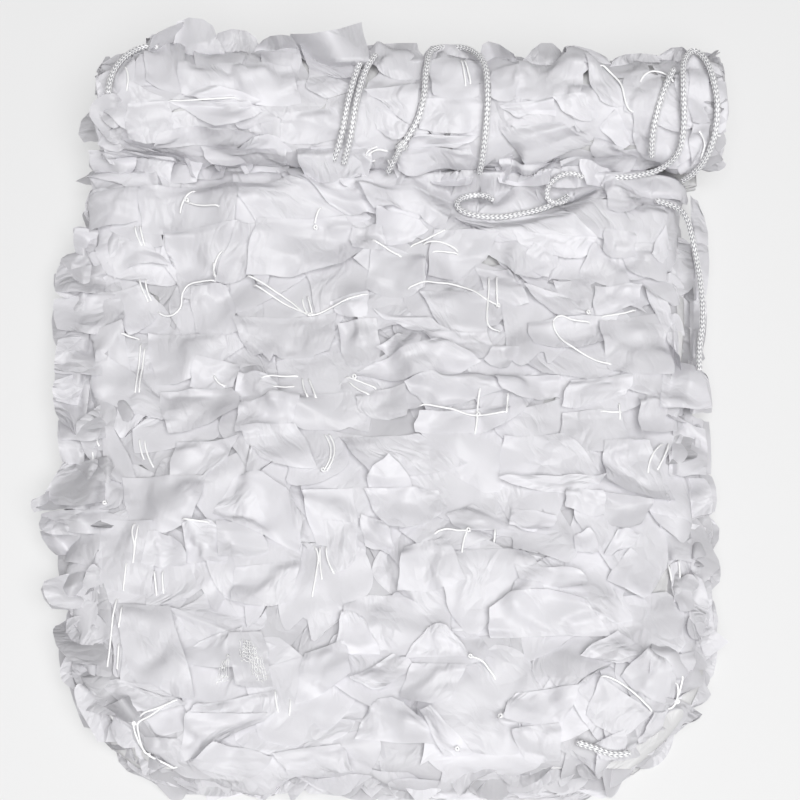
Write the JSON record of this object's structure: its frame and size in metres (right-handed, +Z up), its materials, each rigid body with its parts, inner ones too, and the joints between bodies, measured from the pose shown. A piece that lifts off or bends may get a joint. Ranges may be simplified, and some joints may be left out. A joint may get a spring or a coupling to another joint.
{
  "type": "camouflage net",
  "caption": "White garnished camouflage net folded lengthwise in layers and part rolled, with braided border rope and tie cords.",
  "frame": {"origin": "middle of the net's footprint, on the surface that it lies on", "axes": "+X along the roll, to the right seen from the loose front end; +Y from the loose front end to the roll; +Z up"},
  "size_m": [0.4649, 0.5278, 0.1123],
  "materials": {
    "net": "white semi-matt polyester leaves on white knotted string",
    "rope": "glossy white braided synthetic rope"
  },
  "bodies": {
    "root": {"net_loose_end": "net", "net_roll": "net", "tie_cord": "rope", "tie_cord_foot": "rope", "tie_strand_left": "rope", "tie_strand_right": "rope", "border_rope_end": "rope", "border_rope_inner": "rope", "border_rope_side": "rope", "border_rope_left": "rope", "border_rope_front": "rope"}
  },
  "joints": []
}
